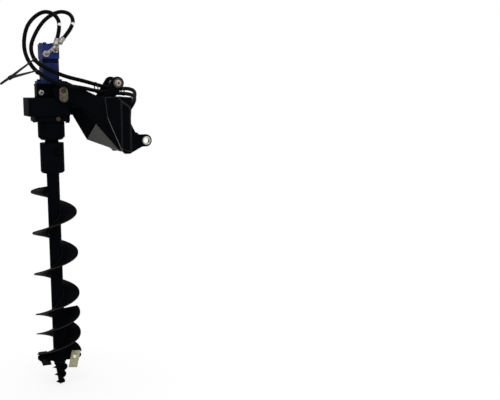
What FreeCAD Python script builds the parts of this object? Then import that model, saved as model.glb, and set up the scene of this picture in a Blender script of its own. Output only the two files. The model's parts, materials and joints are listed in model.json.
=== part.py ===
import FreeCAD, Part
import math
import os
import Sketcher

# A drilling attachment for a loader: a welded carrier that hangs on two pins, a planetary drive that
# swings in it, and a helical auger below. The origin is the middle of the lower arm pin, X points to
# the loader, Z is up, and the side with the pin keeper is -Y. All lengths are in millimetres.

V = FreeCAD.Vector
UP = V(0, 0, 1)
ALONG_X = V(1, 0, 0)
ALONG_Y = V(0, 1, 0)

doc = FreeCAD.newDocument("LoaderAuger")
sheet = doc.addObject("Spreadsheet::Sheet", "Sizes")

SIZES = {
    # Where the three pins and the drive axis stand, measured from the arm pin.
    "pivot_reach": 425,
    "drive_ahead": 45,
    "pivot_rise": 260,
    "link_reach": 135,
    "link_rise": 298,
    # Side plates of the carrier.
    "plate_gap": 176,
    "plate_thick": 12,
    "nose_height": 100,
    "shoulder_back": 15,
    "crown_back": 160,
    "crown_rise": 240,
    "deck_front": 215,
    "deck_rear": 70,
    "deck_rise": 226,
    "waist_reach": 80,
    "waist_rise": 93,
    "tang_height": 64,
    "tang_front": 50,
    "tang_heel": 20,
    "heel_reach": 90,
    "heel_drop": 68,
    "chin_reach": 135,
    "chin_drop": 48,
    "throat_back": 101,
    "throat_rise": 175,
    "corner_flat": 0.1,
    # Plates between the side plates.
    "deck_plate_thick": 12,
    "deck_plate_front": 225,
    "deck_plate_rear": 84,
    "rear_plate_reach": 110,
    "rear_plate_thick": 12,
    "rear_plate_drop": 58,
    "keel_thick": 8,
    "keel_tip_back": 44,
    "keel_belly_back": 137,
    "keel_belly_rise": 8,
    "keel_tail_drop": 62,
    "stop_width": 40,
    "stop_low": 138,
    "stop_gap": 0.3,
    "stop_length": 40,
    "throat_plate_thick": 10,
    "throat_plate_length": 78,
    # Doubler plates outside the side plates.
    "cheek_thick": 10,
    "cheek_front": 217,
    "cheek_top_rear": 149,
    "cheek_rear": 82,
    "cheek_rear_rise": 178,
    "cheek_foot_rear": 78,
    "cheek_foot_front": 120,
    "cheek_drop": 66,
    "cheek_bow_reach": 206,
    "cheek_bow_rise": 123,
    "cheek_corner": 15,
    "band_thick": 6,
    "band_front": 132,
    "band_rear": 88,
    "band_top": 204,
    "band_low": 54,
    # Upper link ears, their pin, washers and bolts.
    "ear_gap": 106,
    "ear_thick": 15,
    "ear_boss": 33,
    "ear_foot_front": 220,
    "ear_foot_rear": 150,
    "link_pin_r": 15,
    "link_pin_length": 140,
    "link_washer_r": 25,
    "link_washer_thick": 5,
    "big_bolt_r": 8,
    "big_bolt_flats": 24,
    "big_bolt_head": 10,
    "big_bolt_depth": 30,
    # Pivot pin of the drive, its keeper plate and bushes.
    "pivot_pin_r": 16,
    "pivot_neck_r": 12,
    "pivot_head_r": 24,
    "pivot_head_thick": 6,
    "pin_clear": 0.1,
    "running_clear": 0.06,
    "keeper_width": 43,
    "keeper_height": 76,
    "keeper_thick": 8,
    "keeper_bolt_drop": 42,
    "small_bolt_r": 6,
    "small_bolt_flats": 18,
    "small_bolt_head": 8,
    "bush_wall": 4,
    # Lower arm pin bushes.
    "arm_pin_r": 15,
    "arm_bush_wall": 7,
    "arm_bush_proud": 12,
    # Pivot cradle: the block that holds the gear ring, with two lugs on top.
    "cradle_front": 123,
    "cradle_rear": 83,
    "cradle_half": 85,
    "cradle_low": 136,
    "cradle_high": 227,
    "cradle_corner": 22,
    "ring_seat_clear": 0.2,
    "cradle_roof": 22,
    "shaft_hole_r": 20,
    "lug_thick": 33,
    "lug_boss": 28,
    # Bell housing and hydraulic motor.
    "bell_front": 72,
    "bell_rear": 24,
    "bell_half": 45,
    "bell_height": 58,
    "bell_corner": 20,
    "bell_top_half": 50,
    "bell_top_thick": 12,
    "bell_bore": 14,
    "bell_bolt_x": 53,
    "bell_bolt_rise": 253,
    "bell_washer_r": 12.5,
    "washer_thick": 2.5,
    "flange_half_x": 68,
    "flange_half_y": 48,
    "flange_thick": 14,
    "flange_corner": 25,
    "flange_bolt_x": 53.2,
    "motor_half_x": 41,
    "motor_half_y": 58,
    "motor_corner": 18,
    "motor_height": 89,
    "gerotor_height": 20,
    "port_block_half_y": 65,
    "port_block_height": 74,
    "port_block_corner": 8,
    "end_bolt_x": 28,
    "end_bolt_y": 46,
    "thin_bolt_r": 5,
    "thin_bolt_flats": 16,
    "thin_bolt_head": 6.5,
    "motor_shaft_r": 12.5,
    "motor_shaft_high": 340,
    # Ports, elbows and ferrules of the two hoses.
    "port_a_x": -27,
    "port_a_rise": 444,
    "port_b_x": 18,
    "port_b_rise": 464,
    "port_nut_flats": 30,
    "port_nut_height": 13,
    "elbow_r": 8,
    "elbow_out": 33,
    "ferrule_r": 12.5,
    "ferrule_length": 34,
    "ferrule_nut_flats": 27,
    "ferrule_nut_height": 11,
    # Planetary gears: tooth module, tooth counts and face widths.
    "tooth_module": 2.5,
    "sun_teeth": 12,
    "planet_teeth": 18,
    "tooth_backlash": 0.5,
    "ring_outer_r": 74,
    "ring_low": 152,
    "ring_high": 200,
    "planet_low": 155,
    "planet_high": 197,
    "planet_pin_r": 8,
    "sun_stem_r": 11,
    "carrier_r": 52,
    "carrier_low": 138,
    "carrier_thick": 12,
    # Lower housing with the output bearings and the shaft seal.
    "foot_front": 91,
    "foot_rear": 84,
    "foot_half": 75,
    "foot_low": 108,
    "foot_corner": 20,
    "barrel_r": 67,
    "barrel_low": 14,
    "barrel_corner": 15,
    "bearing_bore": 50.1,
    "bearing_width": 24,
    "bearing_fit": 0.1,
    "cup_wall": 6.7,
    "cone_wall": 6.7,
    "roller_r": 2.9,
    "rollers_per_row": 12,
    "upper_bearing": 84,
    "lower_bearing": 34,
    "seal_outer": 45,
    "seal_inner": 34.3,
    "seal_low": 15,
    "seal_thick": 14,
    "foot_bolt_x": 70,
    "foot_bolt_y": 60,
    "plug_r": 9,
    "plug_x": 20,
    "plug_rise": 122,
    # Output shaft, auger socket and its cross bolt.
    "shaft_r": 30,
    "shaft_shoulder_r": 34,
    "shaft_spigot_r": 32.5,
    "shaft_spigot_low": -110,
    "socket_r": 60,
    "socket_top": -1,
    "socket_low": -155,
    "socket_chamfer": 8,
    "socket_floor": -112,
    "tube_top": -116,
    "socket_azimuth": -75,
    "socket_flat_depth": 3,
    "socket_flat_width": 48,
    "socket_flat_height": 36,
    "cross_bolt_rise": -48,
    # Auger tube, flights, cutting head.
    "tube_r": 31.75,
    "tube_wall": 5.75,
    "tube_low": -1157,
    "tube_fit": 0.35,
    "flight_r": 114.3,
    "flight_thick": 6,
    "flight_pitch": 215.5,
    "flight_low": -1114,
    "flight_rise": 890.6,
    "second_low": -1111.4,
    "second_rise": 232,
    "head_azimuth": -12.7,
    "weld_gap": 0.3,
    "head_rise": -1134,
    "holder_low": -1154,
    "holder_reach": 112,
    "holder_thick": 20,
    "holder_drop": 2,
    "holder_nose": 16,
    "tooth_width": 45,
    "tooth_thick": 10,
    "tooth_top": -1111,
    "tooth_skew": 3,
    "tooth_low": -1198,
    "tooth_top_x": 87,
    "tooth_low_x": 66,
    "tooth_bolt_rise": -1141,
    "bit_r": 29,
    "bit_shank": 27,
    "bit_collar": 15,
    "bit_shoulder": 10,
    "bit_tip": -1284,
    "bit_tip_r": 3,
    "bit_neck_r": 22,
    "bit_point_r": 10,
    "bit_point": 12,
    "screw_lead": 80,
    "screw_turns": 1.15,
    "screw_azimuth": -30,
    "screw_proud": 13,
    "screw_thick": 12,
    "screw_low": -1276,
    # Hydraulic hoses.
    "hose_r": 10,
    "coupler_r": 16,
    "coupler_sleeve_r": 13.5,
    "coupler_length": 72,
    "coupler_collar_from": 32,
    "coupler_collar_length": 29,
    "coupler_nut_flats": 29,
    "coupler_nut_height": 14,
    "tie_thick": 1.6,
    "tie_width": 6,
    "tie_clear": 0.6,
    "loose_tie_width": 8,
    "loose_head_length": 15,
    "loose_head_thick": 8,
}

for row, (word, number) in enumerate(SIZES.items(), 1):
    sheet.set("A%d" % row, word)
    sheet.set("B%d" % row, str(number))
    sheet.setAlias("B%d" % row, word)
doc.recompute()


class Size:
    """A length that carries its number and the sheet formula that gives it."""

    def __init__(self, number, formula):
        self.number = number
        self.formula = formula

    def joined(self, sign, other, turned=False):
        left, right = (as_size(other), self) if turned else (self, as_size(other))
        results = {
            "+": lambda a, b: a + b,
            "-": lambda a, b: a - b,
            "*": lambda a, b: a * b,
            "/": lambda a, b: a / b,
        }
        number = results[sign](left.number, right.number)
        return Size(number, "(%s %s %s)" % (left.formula, sign, right.formula))

    def __add__(self, other):
        return self.joined("+", other)

    def __radd__(self, other):
        return self.joined("+", other, True)

    def __sub__(self, other):
        return self.joined("-", other)

    def __rsub__(self, other):
        return self.joined("-", other, True)

    def __mul__(self, other):
        return self.joined("*", other)

    def __rmul__(self, other):
        return self.joined("*", other, True)

    def __truediv__(self, other):
        return self.joined("/", other)

    def __neg__(self):
        return self.joined("*", -1)


class Sheet:
    """The named sizes of the spreadsheet, as attributes."""

    def __init__(self, words):
        for word in words:
            setattr(self, word, Size(float(sheet.get(word)), "Sizes." + word))


def as_size(value):
    return value if isinstance(value, Size) else Size(float(value), "(%r)" % float(value))


def plain(value):
    return as_size(value).number


def point(*values):
    return V(*[plain(value) for value in values])


s = Sheet(SIZES)
parts = {}


def bind(item, name, value):
    item.setExpression(name, as_size(value).formula)


def put(item, x, y, z, turn=None):
    """Places an item: its turn as it is, its position bound to the sheet."""
    if turn is not None:
        item.Placement = FreeCAD.Placement(V(0, 0, 0), turn)
    for name, value in (("x", x), ("y", y), ("z", z)):
        bind(item, "Placement.Base." + name, value)


def aim(direction):
    return FreeCAD.Rotation(UP, direction)


def about_axis(degrees):
    return FreeCAD.Rotation(UP, plain(degrees))


def keep(label, item):
    item.Label = label
    parts[label] = item
    return item


# Bodies made from sketches. A sketch lies on an origin plane of its own body, moved along the normal.

def sketch(body, plane, level, outline=(), circles=()):
    role = plane + "_Plane"
    base = [item for item in body.Origin.OriginFeatures if item.Role == role][0]
    drawn = body.newObject("Sketcher::SketchObject", body.Name + "_sketch")
    drawn.AttachmentSupport = [(base, "")]
    drawn.MapMode = "FlatFace"
    bind(drawn, "AttachmentOffset.Base.z", -level if plane == "XZ" else level)
    corners = [point(a, b, 0) for a, b in outline]
    count = len(corners)
    for i in range(count):
        drawn.addGeometry(Part.LineSegment(corners[i], corners[(i + 1) % count]), False)
    for i in range(count):
        drawn.addConstraint(Sketcher.Constraint("Coincident", i, 2, (i + 1) % count, 1))
    for i, (a, b) in enumerate(outline):
        hold(drawn, i, 1, a, b)
    for centre_a, centre_b, radius in circles:
        circle = Part.Circle(point(centre_a, centre_b, 0), UP, plain(radius))
        number = drawn.addGeometry(circle, False)
        hold(drawn, number, 3, centre_a, centre_b)
        held = drawn.addConstraint(Sketcher.Constraint("Radius", number, plain(radius)))
        bind(drawn, "Constraints[%d]" % held, radius)
    return drawn


def hold(drawn, number, end, a, b):
    """Holds one point of a sketch at its distances from the sketch's origin."""
    for kind, axis, value in (("DistanceX", -2, a), ("DistanceY", -1, b)):
        if not isinstance(value, Size) and value == 0:
            drawn.addConstraint(Sketcher.Constraint("PointOnObject", number, end, axis))
            continue
        held = drawn.addConstraint(Sketcher.Constraint(kind, -1, 1, number, end, plain(value)))
        bind(drawn, "Constraints[%d]" % held, value)


def new_body(name):
    return doc.addObject("PartDesign::Body", name)


def pad(body, plane, low, high, outline=(), circles=()):
    """Adds material between two levels along the plane's own axis."""
    drawn = sketch(body, plane, high if plane == "XZ" else low, outline, circles)
    feature = body.newObject("PartDesign::Pad", body.Name + "_pad")
    feature.Profile = drawn
    bind(feature, "Length", as_size(high) - low)
    doc.recompute()
    return feature


def pocket(body, plane, low, high, outline=(), circles=()):
    """Takes material away between two levels along the plane's own axis."""
    before = body.Shape.Volume
    drawn = sketch(body, plane, low if plane == "XZ" else high, outline, circles)
    feature = body.newObject("PartDesign::Pocket", body.Name + "_pocket")
    feature.Profile = drawn
    bind(feature, "Length", as_size(high) - low)
    doc.recompute()
    if body.Shape.Volume >= before:
        raise RuntimeError(body.Name + ": a pocket cut nothing")
    return feature


def revolve(body, profile):
    """Turns a half profile of (radius, height) points about the body's own Z axis."""
    feature = body.newObject("PartDesign::Revolution", body.Name + "_turned")
    drawn = sketch(body, "XZ", 0, profile)
    feature.Profile = drawn
    feature.ReferenceAxis = (drawn, ["V_Axis"])
    feature.Angle = 360
    doc.recompute()
    return feature


def round_corners(body, base, plane, corners, radius):
    """Fillets the edges that run along the plane's normal through the given corners."""
    axis = {"XY": V(0, 0, 1), "XZ": V(0, 1, 0), "YZ": V(1, 0, 0)}[plane]
    places = []
    for a, b in corners:
        flat = {"XY": (a, b, 0), "XZ": (a, 0, b), "YZ": (0, a, b)}[plane]
        places.append(point(*flat))
    names = []
    for number, edge in enumerate(base.Shape.Edges, 1):
        if not isinstance(edge.Curve, Part.Line) or abs(edge.tangentAt(edge.FirstParameter).dot(axis)) < 0.99:
            continue
        middle = edge.CenterOfMass
        middle = middle - axis * middle.dot(axis)
        if any(middle.distanceToPoint(place) < 0.01 for place in places):
            names.append("Edge%d" % number)
    feature = body.newObject("PartDesign::Fillet", body.Name + "_fillet")
    feature.Base = (base, names)
    bind(feature, "Radius", radius)
    doc.recompute()
    return feature


def rectangle(low_a, high_a, low_b, high_b):
    return [(low_a, low_b), (high_a, low_b), (high_a, high_b), (low_a, high_b)]


def rounded_block(body, low_x, high_x, half_y, low_z, high_z, corner, circles=()):
    """A block with rounded vertical edges, as wide on both sides of the XZ plane."""
    outline = rectangle(low_x, high_x, -half_y, half_y)
    base = pad(body, "XY", low_z, high_z, outline, circles)
    return round_corners(body, base, "XY", outline, corner)


def turned(name, profile, x=0, y=0, z=0, turn=None):
    body = new_body(name)
    revolve(body, profile)
    put(body, x, y, z, turn)
    return body


def ring(name, inner, outer, low, high, x=0, y=0, z=0, turn=None):
    profile = [(inner, low), (outer, low), (outer, high), (inner, high)]
    return turned(name, profile, x, y, z, turn)


# Primitives for fasteners and other standard pieces.

def rod(name, radius, length, x, y, z, direction=UP):
    item = doc.addObject("Part::Cylinder", name)
    bind(item, "Radius", radius)
    bind(item, "Height", length)
    put(item, x, y, z, aim(direction))
    return item


def hexagon(name, flats, height, x, y, z, direction=UP):
    item = doc.addObject("Part::Prism", name)
    item.Polygon = 6
    bind(item, "Circumradius", flats / math.sqrt(3))
    bind(item, "Height", height)
    put(item, x, y, z, aim(direction))
    return item


def fuse(name, items):
    item = doc.addObject("Part::MultiFuse", name)
    item.Shapes = items
    return item


def cut(name, base, tool):
    item = doc.addObject("Part::Cut", name)
    item.Base = base
    item.Tool = tool
    return item


def group(name, items):
    item = doc.addObject("Part::Compound", name)
    item.Links = items
    return item


def bolt(name, radius, flats, head, length, x, y, z, direction):
    """A hexagon bolt: the seat of its head at a point, its head along the direction, its shank against it."""
    head_solid = hexagon(name + "_head", flats, head, x, y, z, direction)
    shank = rod(name + "_shank", radius, length, x, y, z, -direction)
    return fuse(name, [head_solid, shank])


# Levels and faces that several pieces share.

pivot_x = -s.pivot_reach
drive_x = pivot_x - s.drive_ahead
link_x = -s.link_reach
plate_in = s.plate_gap / 2
plate_out = plate_in + s.plate_thick
cheek_out = plate_out + s.cheek_thick
SIDES = (("near", -1), ("far", 1))


def between(side, inner, outer):
    """The two levels of a plate on one side, lowest first."""
    return (-outer, -inner) if side < 0 else (inner, outer)


# Carrier: two side plates, a deck, a rear plate, a folded keel and two doublers.

nose_half = s.nose_height / 2
tang_half = s.tang_height / 2
nose_top = (pivot_x - nose_half, s.pivot_rise + nose_half)
nose_low = (pivot_x - nose_half, s.pivot_rise - nose_half)
tang_top = (tang_half, tang_half)
tang_low = (tang_half, -tang_half)
chin = (-s.chin_reach, -s.chin_drop)
throat = (pivot_x + s.throat_back, s.throat_rise)
side_outline = [
    nose_top,
    (pivot_x + s.shoulder_back, s.pivot_rise + nose_half),
    (pivot_x + s.crown_back, s.crown_rise),
    (-s.deck_front, s.deck_rise),
    (-s.deck_rear, s.deck_rise),
    (-s.waist_reach, s.waist_rise),
    (-s.tang_front, tang_half),
    tang_top,
    tang_low,
    (-s.tang_heel, -tang_half),
    (-s.heel_reach, -s.heel_drop),
    chin,
    throat,
    (pivot_x + s.shoulder_back, s.pivot_rise - nose_half),
    nose_low,
]
arm_bush_r = s.arm_pin_r + s.pin_clear + s.arm_bush_wall
for word, side in SIDES:
    plate = new_body("side_plate_" + word)
    low, high = between(side, plate_in, plate_out)
    holes = [(pivot_x, s.pivot_rise, s.pivot_pin_r + s.pin_clear), (0, 0, arm_bush_r)]
    base = pad(plate, "XZ", low, high, side_outline, holes)
    base = round_corners(plate, base, "XZ", [nose_top, nose_low], nose_half - s.corner_flat)
    round_corners(plate, base, "XZ", [tang_top, tang_low], tang_half - s.corner_flat)
    keep("side_plate_" + word, plate)

deck = new_body("deck_plate")
deck_low = s.deck_rise - s.deck_plate_thick
pad(deck, "XY", deck_low, s.deck_rise, rectangle(-s.deck_plate_front, -s.deck_plate_rear, -plate_in, plate_in))
keep("deck_plate", deck)

rear = new_body("rear_plate")
rear_front = -s.rear_plate_reach
pad(rear, "YZ", rear_front, rear_front + s.rear_plate_thick,
    rectangle(-plate_in, plate_in, -s.rear_plate_drop, deck_low))
keep("rear_plate", rear)


heel_slope = (s.heel_drop - s.chin_drop) / (s.chin_reach - s.heel_reach)
keel_edge_drop = s.chin_drop + (s.chin_reach - s.rear_plate_reach) * heel_slope
keel_belly = point(pivot_x + s.keel_belly_back, 0, s.keel_belly_rise)
keel_tip = point(pivot_x + s.keel_tip_back, 0, s.throat_rise)
keel_tail = point(rear_front, 0, -s.keel_tail_drop)
keel_rim = [point(throat[0], plate_in, throat[1]), point(chin[0], plate_in, chin[1]),
            point(rear_front, plate_in, -keel_edge_drop)]


def mirrored(place):
    return V(place.x, -place.y, place.z)


def keel_core(share):
    """The closed room of the keel, whose outer faces all meet at the belly, as large as the share says."""
    front, chin_place, foot_place = keel_rim
    polygons = [
        [keel_tip, front, mirrored(front)],
        [front, chin_place, mirrored(chin_place), mirrored(front)],
        [chin_place, foot_place, mirrored(foot_place), mirrored(chin_place)],
        [foot_place, keel_tail, mirrored(foot_place)],
    ]
    for first, second in ((keel_tip, front), (front, chin_place), (chin_place, foot_place), (foot_place, keel_tail)):
        polygons.append([first, second, keel_belly])
        polygons.append([mirrored(first), mirrored(second), keel_belly])
    faces = []
    for polygon in polygons:
        places = [keel_belly + (place - keel_belly) * share for place in polygon]
        faces.append(Part.Face(Part.makePolygon(places + [places[0]])))
    shell = Part.makeShell(faces)
    shell.sewShape()
    core = Part.makeSolid(shell)
    return core if core.Volume > 0 else core.reversed()


BEYOND_RIM = 1.5
reach = -keel_tip.x
keel_room = Part.makeBox(reach, plain(s.plate_gap), reach, V(plain(rear_front) - reach, -plain(plate_in),
                                                             plain(s.throat_rise) - reach))
keel_outside = keel_core(BEYOND_RIM).common(keel_room)
tip_face = (keel_rim[0] - keel_tip).cross(keel_belly - keel_tip)
tail_face = (keel_rim[2] - keel_belly).cross(keel_tail - keel_belly)
tip_face.normalize()
tail_face.normalize()
wall = plain(s.keel_thick)
slant = abs(tip_face.x * tail_face.z - tip_face.z * tail_face.x)
inward = V(wall * abs(abs(tail_face.z) - abs(tip_face.z)) / slant, 0,
           wall * abs(abs(tip_face.x) - abs(tail_face.x)) / slant)
keel_hollow = keel_core(2 * BEYOND_RIM)
keel_hollow.translate(inward)
keel = doc.addObject("Part::Feature", "keel_plate")
keel.Shape = keel_outside.cut(keel_hollow)
keep("keel_plate", keel)

cradle_rear_x = drive_x + s.cradle_rear
stop_front = cradle_rear_x + s.stop_gap
throat_seat = s.throat_rise + s.stop_gap
throat_half = plate_in - s.stop_gap


def block(name, low_x, length, half_y, low_z, height):
    item = doc.addObject("Part::Box", name)
    bind(item, "Length", length)
    bind(item, "Width", half_y * 2)
    bind(item, "Height", height)
    put(item, low_x, -half_y, low_z)
    return item


stop_plate = block("stop_plate", stop_front, s.stop_length, s.stop_width / 2, s.stop_low,
                   throat_seat - s.stop_low)
keel_solid = doc.addObject("Part::Feature", "keel_solid")
keel_solid.Shape = keel_outside
trimmed_stop = cut("trimmed_stop", stop_plate, keel_solid)
throat_plate = block("throat_plate", stop_front, s.throat_plate_length, throat_half, throat_seat,
                     s.throat_plate_thick)
keep("stop_block", fuse("stop_block", [trimmed_stop, throat_plate]))

cheek_outline = [
    (-s.cheek_front, s.deck_rise),
    (-s.cheek_top_rear, s.deck_rise),
    (-s.cheek_rear, s.cheek_rear_rise),
    (-s.cheek_foot_rear, -s.cheek_drop),
    (-s.cheek_foot_front, -s.cheek_drop),
    chin,
    (-s.cheek_bow_reach, s.cheek_bow_rise),
]
band_outline = [
    (-s.band_front, s.band_top),
    (-s.band_rear, s.cheek_rear_rise - s.band_thick),
    (-s.band_rear, -s.band_low),
    (-s.band_front, -s.band_low + s.cheek_corner),
]
for word, side in SIDES:
    cheek = new_body("cheek_" + word)
    base = pad(cheek, "XZ", *between(side, plate_out, cheek_out), outline=cheek_outline)
    round_corners(cheek, base, "XZ", cheek_outline[3:5], s.cheek_corner)
    pad(cheek, "XZ", *between(side, cheek_out, cheek_out + s.band_thick), outline=band_outline)
    keep("cheek_" + word, cheek)


def tangent_point(centre, radius, outside, way):
    """Where a line from an outside point touches a circle; way +1 or -1 picks one of the two."""
    across = outside[0].number - centre[0].number
    rise = outside[1].number - centre[1].number
    turn = math.atan2(rise, across) + way * math.acos(radius.number / math.hypot(across, rise))
    return (centre[0] + radius * math.cos(turn), centre[1] + radius * math.sin(turn))


link_centre = (link_x, s.link_rise)
foot_front = (-s.ear_foot_front, s.deck_rise)
foot_rear = (-s.ear_foot_rear, s.deck_rise)
ear_in = s.ear_gap / 2
ears = []
for word, side in SIDES:
    ear = new_body("link_ear_" + word)
    low, high = between(side, ear_in, ear_in + s.ear_thick)
    sides = [
        foot_front,
        foot_rear,
        tangent_point(link_centre, s.ear_boss, foot_rear, 1),
        tangent_point(link_centre, s.ear_boss, foot_front, -1),
    ]
    pad(ear, "XZ", low, high, sides)
    pad(ear, "XZ", low, high, circles=[link_centre + (s.ear_boss,)])
    pocket(ear, "XZ", low, high, circles=[link_centre + (s.link_pin_r + s.running_clear,)])
    ears.append(ear)
keep("link_ears", group("link_ears", ears))

link_half = s.link_pin_length / 2
bolt_hole = s.big_bolt_r + s.pin_clear
hole_end = link_half - s.big_bolt_depth
link_profile = [
    (0, -hole_end),
    (bolt_hole, -hole_end),
    (bolt_hole, -link_half),
    (s.link_pin_r, -link_half),
    (s.link_pin_r, link_half),
    (bolt_hole, link_half),
    (bolt_hole, hole_end),
    (0, hole_end),
]
keep("link_pin", turned("link_pin", link_profile, link_x, 0, s.link_rise, aim(ALONG_Y)))
washers = []
bolts = []
for word, side in SIDES:
    facing = ALONG_Y * side
    washers.append(ring("link_washer_" + word, bolt_hole, s.link_washer_r, 0, s.link_washer_thick,
                        link_x, link_half * side, s.link_rise, aim(facing)))
    bolts.append(bolt("link_bolt_" + word, s.big_bolt_r, s.big_bolt_flats, s.big_bolt_head, s.big_bolt_depth,
                      link_x, (link_half + s.link_washer_thick) * side, s.link_rise, facing))
keep("link_pin_washers", group("link_pin_washers", washers))
keep("link_pin_bolts", group("link_pin_bolts", bolts))

keeper_out = plate_out + s.keeper_thick
pin_profile = [
    (0, -plate_out - s.pivot_head_thick),
    (s.pivot_head_r, -plate_out - s.pivot_head_thick),
    (s.pivot_head_r, -plate_out),
    (s.pivot_pin_r, -plate_out),
    (s.pivot_pin_r, plate_out),
    (s.pivot_neck_r, plate_out),
    (s.pivot_neck_r, keeper_out + 1),
    (0, keeper_out + 1),
]
keep("pivot_pin", turned("pivot_pin", pin_profile, pivot_x, 0, s.pivot_rise, aim(-ALONG_Y)))

keeper = new_body("pivot_keeper")
keeper_half = s.keeper_width / 2
keeper_top = s.pivot_rise + keeper_half
keeper_low = keeper_top - s.keeper_height
bolt_level = s.pivot_rise - s.keeper_bolt_drop
keeper_outline = rectangle(pivot_x - keeper_half, pivot_x + keeper_half, keeper_low, keeper_top)
keeper_holes = [
    (pivot_x, s.pivot_rise, s.pivot_neck_r + s.pin_clear),
    (pivot_x, bolt_level, s.small_bolt_r + s.pin_clear),
]
base = pad(keeper, "XZ", -keeper_out, -plate_out, keeper_outline, keeper_holes)
round_corners(keeper, base, "XZ", keeper_outline, keeper_half - s.corner_flat)
keep("pivot_keeper", keeper)
near_plate = parts["side_plate_near"]
pocket(near_plate, "XZ", -plate_out, -plate_in, circles=[(pivot_x, bolt_level, s.small_bolt_r + s.pin_clear)])
keep("keeper_bolt", bolt("keeper_bolt", s.small_bolt_r, s.small_bolt_flats, s.small_bolt_head,
                         s.keeper_thick + s.plate_thick, pivot_x, -keeper_out, bolt_level, -ALONG_Y))

arm_bushes = []
for word, side in SIDES:
    arm_bushes.append(ring("arm_bush_" + word, s.arm_pin_r + s.pin_clear, arm_bush_r, plate_in,
                           plate_out + s.arm_bush_proud, turn=aim(ALONG_Y * side)))
keep("arm_pin_bushes", group("arm_pin_bushes", arm_bushes))

# Drive housing: the cradle, its bushes, the bell housing and the hydraulic motor.

cradle = new_body("pivot_cradle")
put(cradle, drive_x, 0, 0)
rounded_block(cradle, -s.cradle_front, s.cradle_rear, s.cradle_half, s.cradle_low, s.cradle_high, s.cradle_corner)
ring_seat = s.ring_outer_r + s.ring_seat_clear
roof_low = s.cradle_high - s.cradle_roof
pocket(cradle, "XY", s.cradle_low, roof_low, circles=[(0, 0, ring_seat)])
pocket(cradle, "XY", roof_low, s.cradle_high, circles=[(0, 0, s.shaft_hole_r)])
lug_x = s.drive_ahead
lug_in = s.cradle_half - s.lug_thick
pivot_bush_r = s.pivot_pin_r + s.running_clear + s.bush_wall
for word, side in SIDES:
    low, high = between(side, lug_in, s.cradle_half)
    pad(cradle, "XZ", low, high, rectangle(lug_x - s.lug_boss, lug_x + s.lug_boss, s.cradle_high, s.pivot_rise))
    pad(cradle, "XZ", low, high, circles=[(lug_x, s.pivot_rise, s.lug_boss)])
    pocket(cradle, "XZ", low, high, circles=[(lug_x, s.pivot_rise, pivot_bush_r)])
keep("pivot_cradle", cradle)

bush_out = plate_in - s.stop_gap
pivot_bushes = []
for word, side in SIDES:
    pivot_bushes.append(ring("pivot_bush_" + word, s.pivot_pin_r + s.running_clear, pivot_bush_r, lug_in, bush_out,
                             pivot_x, 0, s.pivot_rise, aim(ALONG_Y * side)))
keep("pivot_bushes", group("pivot_bushes", pivot_bushes))

bell = new_body("bell_housing")
put(bell, drive_x, 0, 0)
bell_top = s.cradle_high + s.bell_height
motor_low = bell_top + s.bell_top_thick
bolt_bore = s.small_bolt_r + s.pin_clear
rounded_block(bell, -s.bell_front, s.bell_rear, s.bell_half, s.cradle_high, bell_top, s.bell_corner)
top_outline = rectangle(-s.bell_front, s.bell_front, -s.bell_top_half, s.bell_top_half)
base = pad(bell, "XY", bell_top, motor_low, top_outline)
round_corners(bell, base, "XY", top_outline, s.bell_corner)
pocket(bell, "XY", s.cradle_high, motor_low, circles=[(0, 0, s.bell_bore)])
flange_bolts_x = (-s.flange_bolt_x, s.flange_bolt_x)
bolt_grip = s.flange_thick + s.bell_top_thick - s.washer_thick
pocket(bell, "XY", motor_low + s.flange_thick - bolt_grip, motor_low,
       circles=[(x, 0, bolt_bore) for x in flange_bolts_x])
side_bore = s.thin_bolt_r + s.pin_clear
side_bolt_length = s.bell_half - s.bell_bore
pocket(bell, "XZ", -s.bell_half, -s.bell_half + side_bolt_length,
       circles=[(-s.bell_bolt_x, s.bell_bolt_rise, side_bore)])
keep("bell_housing", bell)
washer = ring("bell_washer", side_bore, s.bell_washer_r, 0, s.washer_thick,
              drive_x - s.bell_bolt_x, -s.bell_half, s.bell_bolt_rise, aim(-ALONG_Y))
side_bolt = bolt("bell_side_bolt", s.thin_bolt_r, s.thin_bolt_flats, s.thin_bolt_head, side_bolt_length,
                 drive_x - s.bell_bolt_x, -s.bell_half - s.washer_thick, s.bell_bolt_rise, -ALONG_Y)
keep("bell_bolt", group("bell_bolt", [washer, side_bolt]))

motor = new_body("motor_housing")
put(motor, drive_x, 0, 0)
motor_body_low = motor_low + s.flange_thick
motor_high = motor_body_low + s.motor_height
rounded_block(motor, -s.motor_half_x, s.motor_half_x, s.motor_half_y, motor_body_low, motor_high, s.motor_corner)
flange_outline = rectangle(-s.flange_half_x, s.flange_half_x, -s.flange_half_y, s.flange_half_y)
base = pad(motor, "XY", motor_low, motor_body_low, flange_outline, [(x, 0, bolt_bore) for x in flange_bolts_x])
round_corners(motor, base, "XY", flange_outline, s.flange_corner)
pocket(motor, "XY", motor_low, s.motor_shaft_high + 1, circles=[(0, 0, s.motor_shaft_r + s.running_clear)])
keep("motor_housing", motor)

gerotor = new_body("gerotor_plate")
put(gerotor, drive_x, 0, 0)
gerotor_high = motor_high + s.gerotor_height
rounded_block(gerotor, -s.motor_half_x, s.motor_half_x, s.motor_half_y, motor_high, gerotor_high, s.motor_corner)
keep("gerotor_plate", gerotor)

port_block = new_body("port_block")
put(port_block, drive_x, 0, 0)
port_top = gerotor_high + s.port_block_height
rounded_block(port_block, -s.motor_half_x, s.motor_half_x, s.port_block_half_y, gerotor_high, port_top,
              s.port_block_corner)
thin_bore = s.thin_bolt_r + s.pin_clear
end_places = [(x, y) for x in (-s.end_bolt_x, s.end_bolt_x) for y in (-s.end_bolt_y, s.end_bolt_y)]
pocket(port_block, "XY", gerotor_high + 1, port_top, circles=[(x, y, thin_bore) for x, y in end_places])
keep("port_block", port_block)

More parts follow.
